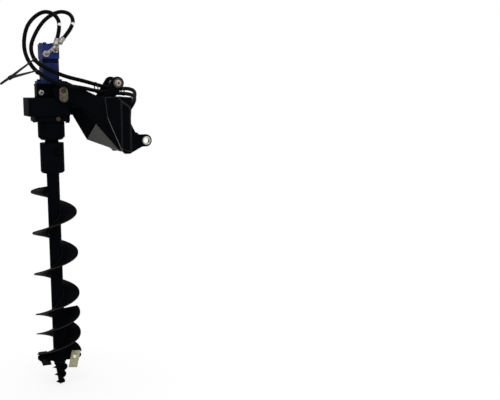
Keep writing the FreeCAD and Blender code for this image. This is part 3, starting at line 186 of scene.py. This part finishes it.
FADE_SCALE = 0.05
ground = bpy.data.materials.new("pale_floor")
ground.use_nodes = True
tree = ground.node_tree
tree.nodes.clear()
camera_ray, mirror_ray = light_rays(tree)
start = Wire(tree)
out = start.node("VectorMath", {"operation": "LENGTH"}, {0: start.place()}, output="Value")
fade = start.node("ValToRGB", {"stops": [(0.0, 0.8), (0.035, 1.0)]}, {"Fac": out * FADE_SCALE})
matte = start.node("BsdfDiffuse", values={"Color": (0.93, 0.93, 0.92, 1)})
white = start.node("Emission", values={"Color": (1, 1, 1, 1), "Strength": 1.0})
both = start.node("MixShader", values={0: camera_ray * fade + mirror_ray, 1: matte, 2: white})
start.node("OutputMaterial", values={"Surface": both})
floor.data.materials.append(ground)

sky = bpy.data.worlds.new("studio")
sky.use_nodes = True
bpy.context.scene.world = sky
tree = sky.node_tree
tree.nodes.clear()
camera_ray, mirror_ray = light_rays(tree)
start = Wire(tree)
room = start.node("Background", values={"Color": (0.95, 0.97, 1, 1), "Strength": 0.55})
white = start.node("Background", values={"Color": (1, 1, 1, 1), "Strength": 1.0})
both = start.node("MixShader", values={0: camera_ray + mirror_ray, 1: room, 2: white})
start.node("OutputWorld", values={"Surface": both})

for name, turn, strength, softness in (
    ("high_lamp", (38, 0, -15), 1.25, 35),
    ("side_lamp", (66, 0, 12), 0.45, 50),
):
    lamp = bpy.data.lights.new(name, "SUN")
    lamp.energy = strength
    lamp.angle = math.radians(softness)
    lamp_object = bpy.data.objects.new(name, lamp)
    lamp_object.rotation_euler = [math.radians(part) for part in turn]
    bpy.context.collection.objects.link(lamp_object)


# The carrier: laser-cut plates, bent and welded, under one coat of black satin paint. The cut edges
# are broken, and a little dust lies on what faces up.
CREASE = 32


def nothing_selected():
    if bpy.context.object and bpy.context.object.mode != "OBJECT":
        bpy.ops.object.mode_set(mode="OBJECT")
    bpy.ops.object.select_all(action="DESELECT")


def take(piece):
    nothing_selected()
    piece.select_set(True)
    bpy.context.view_layer.objects.active = piece


def join_up(piece):
    """Opens a piece's mesh, all of it selected, and joins the vertices that lie together."""
    take(piece)
    bpy.ops.object.mode_set(mode="EDIT")
    bpy.ops.mesh.select_all(action="SELECT")
    bpy.ops.mesh.remove_doubles(threshold=1e-6)


def apply(piece, kind, **settings):
    """Adds a modifier to a piece and applies it."""
    take(piece)
    modifier = piece.modifiers.new(kind.lower(), kind)
    for name, value in settings.items():
        setattr(modifier, name, value)
    bpy.ops.object.modifier_apply(modifier=modifier.name)


def settle(piece, name, body, crease=CREASE):
    """Bakes a piece's place into its mesh, names it and gives it its body."""
    take(piece)
    bpy.ops.object.transform_apply(location=True, rotation=True, scale=True)
    bpy.ops.object.shade_smooth_by_angle(angle=math.radians(crease))
    piece.name = name
    piece.data.name = name
    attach(piece, body)
    return piece


def finished(node, finish, edge=0.001, rows=2, worn=None, clamped=False):
    """A cut, turned or cast piece as it leaves the shop, its mesh joined up and its edges broken.
    A finish for lit edges, where one is given, covers the broken edges only: a painted edge
    highlight."""
    nothing_selected()
    piece = bpy.data.objects.new(node + "_dressed", nodes[node].data.copy())
    bpy.context.collection.objects.link(piece)
    take(piece)
    if piece.data.has_custom_normals:
        bpy.ops.mesh.customdata_custom_splitnormals_clear()
    join_up(piece)
    bpy.ops.mesh.dissolve_limited(angle_limit=math.radians(0.6))
    bpy.ops.object.mode_set(mode="OBJECT")
    piece.data.materials.clear()
    piece.data.materials.append(finish)
    if worn:
        piece.data.materials.append(worn)
    if edge:
        apply(piece, "BEVEL", width=edge, segments=rows, limit_method="ANGLE",
              material=1 if worn else -1, angle_limit=math.radians(CREASE),
              use_clamp_overlap=clamped, harden_normals=False)
    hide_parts(node)
    return settle(piece, node + "_dressed", nodes[node]["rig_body"])


def new_finish(name, colour, roughness, metallic=0.0, specular=0.5):
    """A finish with its plain colour and gloss, its shader and a wire of the place on the object."""
    material = bpy.data.materials.new(name)
    material.use_nodes = True
    shader = material.node_tree.nodes["Principled BSDF"]
    shader.inputs["Base Color"].default_value = (*colour, 1)
    shader.inputs["Roughness"].default_value = roughness
    shader.inputs["Metallic"].default_value = metallic
    shader.inputs["Specular IOR Level"].default_value = specular
    return material, shader, Wire(material.node_tree).place()


def reopened(finish):
    """The wire of a finish's colour, its shader and a wire of the place, to paint on over it."""
    shader = finish.node_tree.nodes["Principled BSDF"]
    coat = Wire(finish.node_tree, shader.inputs["Base Color"].links[0].from_socket)
    return coat, shader, coat.place()


def feed(wire, shader, name):
    wire.tree.links.new(wire.socket, shader.inputs[name])


def black_paint(name, colour, dust, grime, gloss=0.006):
    """Black satin paint with a fine orange peel, dust on its upper faces and dull patches."""
    material, shader, place = new_finish(name, colour, 0.36, specular=gloss)
    patch = place.noise(9.0, 7.0, 0.6).ramp(0.42, 0.78)
    specks = place.noise(260.0, 3.0)
    lying = place.node("NewGeometry", output="Normal").part("Z").ramp(0.45, 1.0)
    dusty = patch * (0.25 + 0.75 * lying) * (0.35 + 0.65 * specks) * dust
    feed(place.paint(dusty, (*colour, 1), (*grime, 1)), shader, "Base Color")
    feed(0.33 + 0.22 * patch + 0.08 * specks, shader, "Roughness")
    feed(place.noise(420.0, 2.0).bump(0.12, 0.0008), shader, "Normal")
    return material


CARRIER_BLACK = (0.0020, 0.0024, 0.0032)
satin_black = black_paint("satin_black", CARRIER_BLACK, 0.35, (0.01, 0.0095, 0.0085), 0.003)
for node in ("side_plate_near", "side_plate_far", "deck_plate", "rear_plate", "stop_block"):
    finished(node, satin_black)

# The doubler plates and the link ears: thicker plate, cut and welded on outside and on top. The
# doublers' lower slanting edges, their bows, carry a painted highlight, and their other edges a
# faint one.
BOW_TOP = Vector((-0.206, 0, 0.123))
BOW_FOOT = Vector((-0.135, 0, -0.048))
BOW_REACH = 0.006
DOUBLER_FACE = 0.1105
FAINT_HIGHLIGHT_SHARE = 0.15
painted_edge_highlight = black_paint("painted_edge_highlight", (0.12, 0.12, 0.125), 0.6, (0.17, 0.16, 0.15), 0.2)
coat, shader, place = reopened(painted_edge_highlight)
bow = (BOW_FOOT - BOW_TOP).normalized()
bow_level = bow.z * BOW_TOP.x - bow.x * BOW_TOP.z
off_bow = coat.maths("ABSOLUTE", place.past(bow) - bow_level, 0.0)
on_doubler = coat.maths("ABSOLUTE", place.part("Y"), 0.0) < DOUBLER_FACE
on_bow = (off_bow < BOW_REACH) * (place.part("Z") < BOW_TOP.z)
# Painted highlight: full on the bows' bevels, a faint share on the doublers' other bevels.
edge_highlight_share = coat.maths("MAXIMUM", on_bow, FAINT_HIGHLIGHT_SHARE * on_doubler)
feed(coat.paint(edge_highlight_share, (*CARRIER_BLACK, 1), coat), shader, "Base Color")
for node in ("cheek_near", "cheek_far"):
    finished(node, satin_black, 0.0022, worn=painted_edge_highlight)
finished("link_ears", satin_black, 0.0014)

# The keel: one sheet folded along its middle and welded in under the nose. What lies behind the line
# from its belly to its rim leans to the ground and is painted grey as a reflection of the floor,
# mottled by noise.
BELLY = Vector((-0.288, 0, 0.008))
RIM = Vector((-0.258, 0, 0.097))
keel_black_and_reflection = black_paint("keel_black_and_reflection", (0.0016, 0.0018, 0.0026), 0.4, (0.012, 0.0115, 0.01))
coat, shader, place = reopened(keel_black_and_reflection)
fold = (RIM - BELLY).normalized()
behind = place.past(fold) > fold.z * BELLY.x - fold.x * BELLY.z
# Painted reflection: the part behind the fold turns grey, in noisy patches.
painted_reflection = behind * (0.75 + 0.25 * place.noise(60.0, 7.0, 0.7))
feed(coat.paint(painted_reflection, coat, (0.088, 0.086, 0.08, 1)), shader, "Base Color")
finished("keel_plate", keel_black_and_reflection, 0.0015)


# The pins: turned bar, ground bright where they run, held by a keeper plate or by end washers. The
# sockets of the link pin's bolts carry painted shade, and the rims of its washers are painted black.
def bright_steel(name, colour, roughness, stain, stained):
    """Bare or plated steel with turning marks, a stain or rust in patches and fine scratches."""
    material, shader, place = new_finish(name, colour, roughness, 1.0)
    clouds = place.noise(70.0, 8.0, 0.65)
    patch = clouds.ramp(0.62 - 0.3 * stained, 0.8 - 0.25 * stained)
    feed(place.paint(patch, (*colour, 1), (*stain, 1)), shader, "Base Color")
    feed(1 - 0.85 * patch, shader, "Metallic")
    feed(roughness + 0.35 * patch + 0.1 * clouds, shader, "Roughness")
    feed((place.noise(900.0, 2.0) + patch).bump(0.15, 0.0003), shader, "Normal")
    return material


ground_steel = bright_steel("ground_steel", (0.42, 0.4, 0.38), 0.3, (0.12, 0.07, 0.04), 0.3)
zinc_plate = bright_steel("zinc_plate", (0.10, 0.084, 0.062), 0.45, (0.045, 0.034, 0.024), 0.5)
pale_bolt = bright_steel("pale_bolt", (0.36, 0.31, 0.25), 0.4, (0.1, 0.06, 0.04), 0.5)
dark_bolt = bright_steel("dark_bolt", (0.035, 0.028, 0.025), 0.5, (0.06, 0.03, 0.018), 0.6)
for node in ("link_pin", "arm_pin_bushes", "pivot_bushes"):
    finished(node, ground_steel, 0.0006)
finished("pivot_pin", dark_bolt, 0.0006)
finished("pivot_keeper", zinc_plate, 0.001)
BOLT_AXIS = (-0.135, 0, 0.298)
SOCKET_RADIUS = 0.0062
PAINTED_FROM = 0.0168
# Painted shade: the bolts' sockets are made dark; the washers' rims are black paint.
coat, shader, place = reopened(pale_bolt)
from_axis = place.scaled(1, 0, 1).distance(BOLT_AXIS)
painted = (from_axis < SOCKET_RADIUS) + (from_axis > PAINTED_FROM)
feed(coat.paint(painted, coat, (0.003, 0.003, 0.003, 1)), shader, "Base Color")
feed(0.9 - 0.9 * painted, shader, "Metallic")
feed(0.45 + 0.2 * painted, shader, "Roughness")
finished("link_pin_bolts", pale_bolt, 0.0006)
finished("link_pin_washers", pale_bolt, 0.0006)
finished("keeper_bolt", zinc_plate, 0.0006)

# The cradle, the bell and the gear housings: machined castings, painted black with the carrier. The
# bolt in the bell's side was painted over and its washer was not.
BELL_BOLT = (-0.523, -0.054, 0.253)
BOLT_REACH = 0.0062
ringed_zinc = bright_steel("ringed_zinc", (0.36, 0.36, 0.34), 0.45, (0.26, 0.25, 0.24), 0.1)
coat, shader, place = reopened(ringed_zinc)
painted = place.distance(BELL_BOLT) < BOLT_REACH
feed(coat.paint(painted, coat, (0.003, 0.003, 0.0034, 1)), shader, "Base Color")
feed(0.3 - 0.3 * painted, shader, "Metallic")
for node in ("pivot_cradle", "bell_housing"):
    finished(node, satin_black, 0.002, 3, clamped=True)
finished("lower_housing", satin_black, 0.003, 3)
finished("bell_bolt", ringed_zinc, 0.0005)
finished("foot_bolts", satin_black, 0.0005)
finished("fill_plug", dark_bolt, 0.0005)


# The hydraulic motor: iron castings in blue paint, the housing's blue darker as painted shade, and
# between them the gerotor plate in a near-black blue.
def blue_paint(name, colour):
    """Blue machine paint over a cast skin, with darker patches where oil has made it grimy."""
    material, shader, place = new_finish(name, colour, 0.42, specular=0.008)
    patch = place.noise(30.0, 6.0, 0.6).ramp(0.45, 0.7)
    grime = (colour[0] * 0.35, colour[1] * 0.35, colour[2] * 0.4, 1)
    feed(place.paint(patch * 0.6, (*colour, 1), grime), shader, "Base Color")
    feed(0.38 + 0.25 * patch, shader, "Roughness")
    feed(place.noise(320.0, 4.0).bump(0.3, 0.001), shader, "Normal")
    return material


motor_blue = blue_paint("motor_blue", (0.018, 0.032, 0.14))
# Painted shade: the housing gets a darker copy of the port block's blue.
blue_in_painted_shade = blue_paint("blue_in_painted_shade", (0.015, 0.024, 0.085))
near_black_blue = blue_paint("near_black_blue", (0.005, 0.007, 0.024))
finished("motor_housing", blue_in_painted_shade, 0.0015, 3)
finished("port_block", motor_blue, 0.0015, 3)
finished("gerotor_plate", near_black_blue, 0.001)
for node in ("motor_bolts", "end_bolts"):
    finished(node, satin_black, 0.0005)
fitting_steel = bright_steel("fitting_steel", (0.34, 0.33, 0.3), 0.4, (0.09, 0.08, 0.07), 0.6)
finished("hose_fittings", fitting_steel, 0.0005)


# The hoses: rubber over braid, 20 mm across, with a white mark on each. They leave the motor's
# ports, loop up over it and run back along the deck to quick couplers behind the far plate.
MARK_REACH = 0.0109
HOSE_MARKS = [(-0.4305, -0.0900, 0.5850), (-0.3589, -0.0659, 0.5895)]
RUBBER_BLACK = (0.0018, 0.0018, 0.002)
black_rubber, shader, place = new_finish("black_rubber", RUBBER_BLACK, 0.42, specular=0.02)
patch = place.noise(26.0, 5.0).ramp(0.4, 0.75)
near_first, near_second = (place.distance(spot) < MARK_REACH for spot in HOSE_MARKS)
dusty = place.paint(patch * 0.5, (*RUBBER_BLACK, 1), (0.007, 0.007, 0.0065, 1))
feed(place.paint(near_first + near_second, dusty, (0.75, 0.75, 0.75, 1)), shader, "Base Color")
feed(0.38 + 0.25 * patch, shader, "Roughness")
feed(place.noise(700.0, 2.0).bump(0.2, 0.0004), shader, "Normal")

HOSE_RADIUS = 0.010
hose_routes = {
    "a": [
        (-0.446, -0.098, 0.517), (-0.426, -0.095, 0.583), (-0.442, -0.061, 0.636),
        (-0.487, -0.017, 0.656), (-0.540, 0.008, 0.622), (-0.581, 0.002, 0.564),
        (-0.596, -0.011, 0.461), (-0.564, -0.051, 0.374), (-0.513, -0.121, 0.324),
        (-0.443, -0.129, 0.292), (-0.333, -0.132, 0.276), (-0.260, -0.053, 0.262),
        (-0.171, -0.026, 0.246), (-0.048, -0.008, 0.242), (0.007, 0.071, 0.214),
        (-0.015, 0.144, 0.141), (-0.066, 0.157, 0.108), (-0.080, 0.152, 0.032),
    ],
    "b": [
        (-0.412, -0.088, 0.521), (-0.357, -0.077, 0.580), (-0.350, -0.021, 0.642),
        (-0.398, 0.042, 0.663), (-0.469, 0.067, 0.621), (-0.529, 0.029, 0.544),
        (-0.562, -0.001, 0.471), (-0.549, -0.055, 0.403), (-0.487, -0.089, 0.364),
        (-0.403, -0.086, 0.330), (-0.311, -0.060, 0.310), (-0.217, -0.020, 0.285),
        (-0.130, 0.001, 0.264), (-0.055, 0.021, 0.271), (0.015, 0.090, 0.250),
        (0.010, 0.166, 0.171), (-0.036, 0.187, 0.120), (-0.052, 0.182, 0.042),
    ],
}


def smooth_line(name, route):
    """A NURBS curve object through a route, and the points of its line."""
    nothing_selected()
    curve = bpy.data.curves.new(name, "CURVE")
    curve.dimensions = "3D"
    curve.resolution_u = 10
    spline = curve.splines.new("NURBS")
    spline.points.add(len(route) - 1)
    for point, spot in zip(spline.points, route):
        point.co = (*spot, 1)
    spline.order_u = 3
    spline.use_endpoint_u = True
    line = bpy.data.objects.new(name, curve)
    bpy.context.collection.objects.link(line)
    bpy.context.view_layer.update()
    mesh = bpy.data.meshes.new_from_object(line)
    spots = [vertex.co.copy() for vertex in mesh.vertices]
    bpy.data.meshes.remove(mesh)
    return line, spots


def thick_line(line, radius, finish, sides=5):
    """The curve as a closed round mesh of that radius, in its finish."""
    line.data.bevel_depth = radius
    line.data.bevel_resolution = sides
    line.data.use_fill_caps = True
    take(line)
    bpy.ops.object.convert(target="MESH")
    join_up(line)
    bpy.ops.object.mode_set(mode="OBJECT")
    line.data.materials.clear()
    line.data.materials.append(finish)
    return line


for side, route in hose_routes.items():
    coupler = finished("hose_coupler_" + side, fitting_steel, 0.0006)
    line, spots = smooth_line("hose_line_" + side, route)
    hose = thick_line(line, HOSE_RADIUS, black_rubber)
    take(hose)
    bpy.ops.object.shade_smooth_by_angle(angle=math.radians(50))
    hose.name = "hose_" + side
    hose.data.name = hose.name
    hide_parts(*["hose_%s_%s" % (side, stretch) for stretch in ("loop", "bend", "tail")])
    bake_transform(hose)


# The hose ties: black nylon straps that hold the two hoses together. The loose one is thicker where
# it is clear of the hoses, but not at its tip, which is one end of the CAD box.
TIP_FROM = -0.725
CLEAR_FROM = -0.60
TIE_SWELL = 0.0045
tie_nylon, shader, place = new_finish("tie_nylon", (0.003, 0.003, 0.0034), 0.4, specular=0.1)
feed(0.34 + 0.2 * place.noise(300.0, 3.0), shader, "Roughness")
finished("hose_ties", tie_nylon, 0.0003)
loose_tie = finished("loose_tie", tie_nylon, 0)
clear = [vertex.index for vertex in loose_tie.data.vertices if TIP_FROM < vertex.co.x < CLEAR_FROM]
swell = loose_tie.vertex_groups.new(name="clear_of_the_hoses")
swell.add(clear, 1.0, "REPLACE")
apply(loose_tie, "DISPLACE", strength=TIE_SWELL, mid_level=0.0, vertex_group=swell.name)

# The auger: a tube in a socket with a cross bolt, and flights rolled from flat bar and welded on.
# The flights' rims carry a painted highlight.
AUGER_X = -0.47
RIM_HIGHLIGHT_RADIUS = 0.1136
FLIGHT_BLACK = (0.0018, 0.0021, 0.003)
FLIGHT_DUST = (0.01, 0.0095, 0.009)
flight_black = black_paint("flight_black", FLIGHT_BLACK, 0.4, FLIGHT_DUST, 0.004)
for node in ("hub_socket", "output_shaft"):
    finished(node, flight_black, 0.0015)
finished("auger_tube", flight_black, 0)
finished("cross_bolt", flight_black, 0.0006)
flight_black_lit_rims = black_paint("flight_black_lit_rims", FLIGHT_BLACK, 0.25, FLIGHT_DUST, 0.003)
coat, shader, place = reopened(flight_black_lit_rims)
# Painted highlight: the flights' rims turn lighter, in noisy patches.
on_rim = place.scaled(1, 1, 0).distance((AUGER_X, 0, 0)) > RIM_HIGHLIGHT_RADIUS
rim_highlight = on_rim * (0.4 + 0.6 * place.noise(80.0, 6.0))
feed(coat.paint(rim_highlight, coat, (0.022, 0.021, 0.018, 1)), shader, "Base Color")
for node in ("main_flight", "second_flight"):
    finished(node, flight_black_lit_rims, 0)

# The cutting head: two bolted teeth on welded holders, and the screw bit that leads the auger. The
# tooth on the loader's side is bare, and the other one and its bolt are painted dark as shade.
worn_tooth = bright_steel("worn_tooth", (0.33, 0.32, 0.21), 0.55, (0.24, 0.225, 0.14), 0.45)
tooth_bolt = bright_steel("tooth_bolt", (0.62, 0.61, 0.52), 0.45, (0.4, 0.38, 0.3), 0.2)
for finish in (worn_tooth, tooth_bolt):
    coat, shader, place = reopened(finish)
    # Painted shade: the tooth and bolt beyond the auger's axis are made near black.
    painted_tooth_shade = place.part("X") < AUGER_X
    feed(coat.paint(painted_tooth_shade, coat, (0.004, 0.0045, 0.004, 1)), shader, "Base Color")
    feed((1 - painted_tooth_shade) * 0.3, shader, "Metallic")
    shader.inputs["Specular IOR Level"].default_value = 0.05
finished("tooth_holders", flight_black, 0.0015)
finished("cutting_teeth", worn_tooth, 0.001)
finished("tooth_bolts", tooth_bolt, 0.0006)
finished("pilot_bit", flight_black, 0)

# The welds: beads laid by hand along the joints of the carrier and the auger, and painted over. Each
# ripple of a bead is one swelling of it.
weld_paint = black_paint("weld_paint", (0.0024, 0.0026, 0.0034), 0.8, (0.016, 0.015, 0.013), 0.05)
WELD_STEP = 0.0028
BEAD_RADIUS = 0.0028
WIDE_BEAD = 0.0035


def bead(name, body, places, radius=BEAD_RADIUS):
    """A painted weld bead along a row of places that lie a ripple apart."""
    nothing_selected()
    curve = bpy.data.curves.new(name, "CURVE")
    curve.dimensions = "3D"
    spline = curve.splines.new("POLY")
    spline.points.add(len(places) - 1)
    for count, (point, spot) in enumerate(zip(spline.points, places)):
        point.co = (*spot, 1)
        point.radius = 1.0 if count % 2 else 0.7
    line = bpy.data.objects.new(name, curve)
    bpy.context.collection.objects.link(line)
    settle(thick_line(line, radius, weld_paint, 1), name, body, 60)


def straight(*corners):
    """Places a ripple apart along straight runs between corners."""
    places = []
    for first, second in zip(corners, corners[1:]):
        first, second = Vector(first), Vector(second)
        ripples = max(int((second - first).length / WELD_STEP), 1)
        places += [first.lerp(second, count / ripples) for count in range(ripples)]
    return places + [Vector(corners[-1])]


def winding(centre, radius, turns=1, rise=0, first_turn=0.0, flat=False):
    """Places a ripple apart round an upright axis, rising as they go, or round a level one."""
    whole = 2 * math.pi * turns
    ripples = int(math.hypot(radius * whole, rise) / WELD_STEP)
    places = []
    for count in range(ripples + 1):
        turn = math.radians(first_turn) + whole * count / ripples
        aside, ahead = radius * math.cos(turn), radius * math.sin(turn)
        away = (aside, 0, ahead) if flat else (aside, ahead, rise * count / ripples)
        places.append(Vector(centre) + Vector(away))
    return places


PLATE_FACE = 0.1008
KEEL_SIDE = 0.0885
BUSH_FACE = 0.1005
DECK_TOP = 0.2268
for word, y_side in (("near", -1), ("far", 1)):
    face = PLATE_FACE * y_side
    bead("weld_doubler_" + word, "frame",
         straight((-0.150, face, 0.2270), (-0.2185, face, 0.2270), (-0.208, face, 0.123),
                  (-0.137, face, -0.0485)))
    inner = KEEL_SIDE * y_side
    bead("weld_keel_" + word, "frame",
         straight((-0.3245, inner, 0.172), (-0.137, inner, -0.049)), WIDE_BEAD)
    for place, y_foot in (("inner", 0.0518), ("outer", 0.0692)):
        y_toe = y_foot * y_side
        bead("weld_ear_%s_%s" % (word, place), "frame",
             straight((-0.221, y_toe, DECK_TOP), (-0.149, y_toe, DECK_TOP)), WIDE_BEAD)
    bead("weld_bush_" + word, "frame", winding((0, BUSH_FACE * y_side, 0), 0.0232, flat=True))
bead("weld_socket", "auger", winding((AUGER_X, 0, -0.1562), 0.0335), 0.004)
bead("weld_bit", "auger", winding((AUGER_X, 0, -1.157), 0.0312))

FLIGHT_PITCH = 0.2155
FLIGHT_TOE = 0.0044
TUBE_TOE = 0.0326
HOLDER_DROP = 0.0042
HOLDER_START = 0.034
HOLDER_END = 0.104
for name, low, azimuth, rise in (
    ("main", -1.114, 167.3, 0.8906),
    ("second", -1.1114, -12.7, 0.232),
):
    outward = Vector((math.cos(math.radians(azimuth)), math.sin(math.radians(azimuth)), 0))
    foot = Vector((AUGER_X, 0, low - HOLDER_DROP))
    bead("weld_%s_holder" % name, "auger",
         straight(foot + HOLDER_START * outward, foot + HOLDER_END * outward))
    for place, lift in (("upper", FLIGHT_TOE), ("lower", -FLIGHT_TOE)):
        bead("weld_%s_flight_%s" % (name, place), "auger",
             winding((AUGER_X, 0, low + lift), TUBE_TOE, rise / FLIGHT_PITCH, rise, azimuth))

# The gears, bearings and seal inside the drive: hardened steel, seen only when it is opened.
gear_steel = bright_steel("gear_steel", (0.4, 0.4, 0.41), 0.3, (0.2, 0.18, 0.15), 0.2)
seal_rubber, shader, place = new_finish("seal_rubber", (0.02, 0.018, 0.018), 0.6)
feed(0.5 + 0.2 * place.noise(500.0, 3.0), shader, "Roughness")
for name, node in nodes.items():
    if not node.hide_render:
        for holder in node.material_slots:
            holder.material = seal_rubber if name == "shaft_seal" else gear_steel
